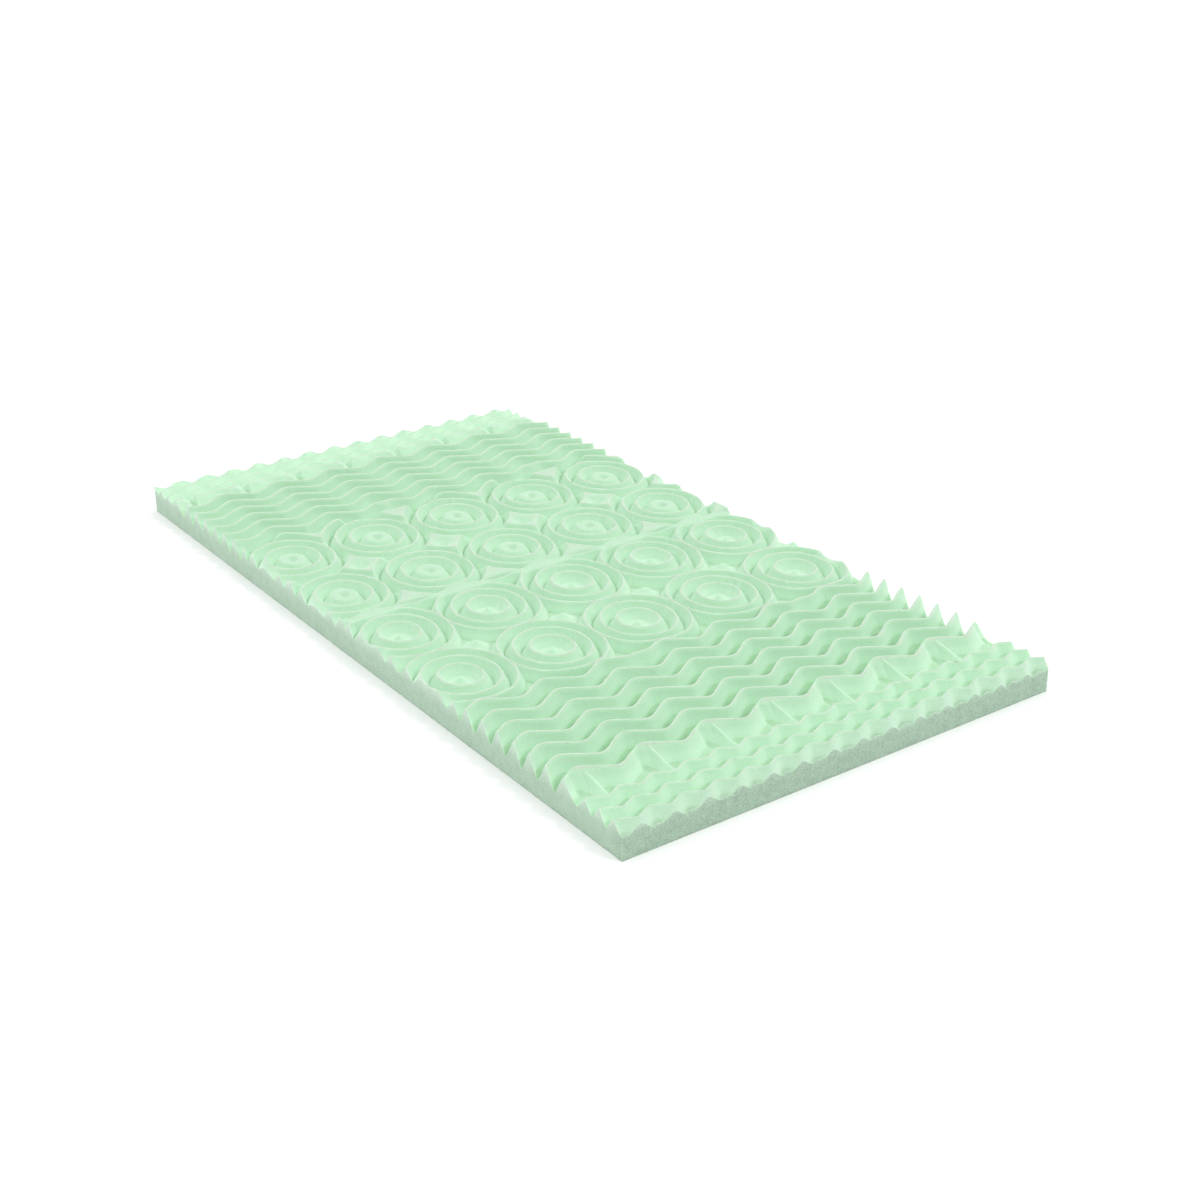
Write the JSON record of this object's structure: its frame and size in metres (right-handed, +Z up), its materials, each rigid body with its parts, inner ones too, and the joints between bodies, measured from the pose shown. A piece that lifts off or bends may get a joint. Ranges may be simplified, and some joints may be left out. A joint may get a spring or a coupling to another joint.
{
  "type": "mattress topper",
  "caption": "Foam mattress topper, a flat rectangular slab with cut sides whose upper face is profile-cut into concentric rings and zigzag ridges.",
  "frame": {"origin": "middle of the flat underside, on the surface that the topper lies on", "axes": "+X across the bed, +Y along the bed towards its head, +Z up out of the cut face"},
  "size_m": [0.9906, 1.905, 0.0762],
  "materials": {
    "foam": "matt mint-green open-cell foam"
  },
  "bodies": {
    "root": {"foam_slab": "foam"}
  },
  "joints": []
}
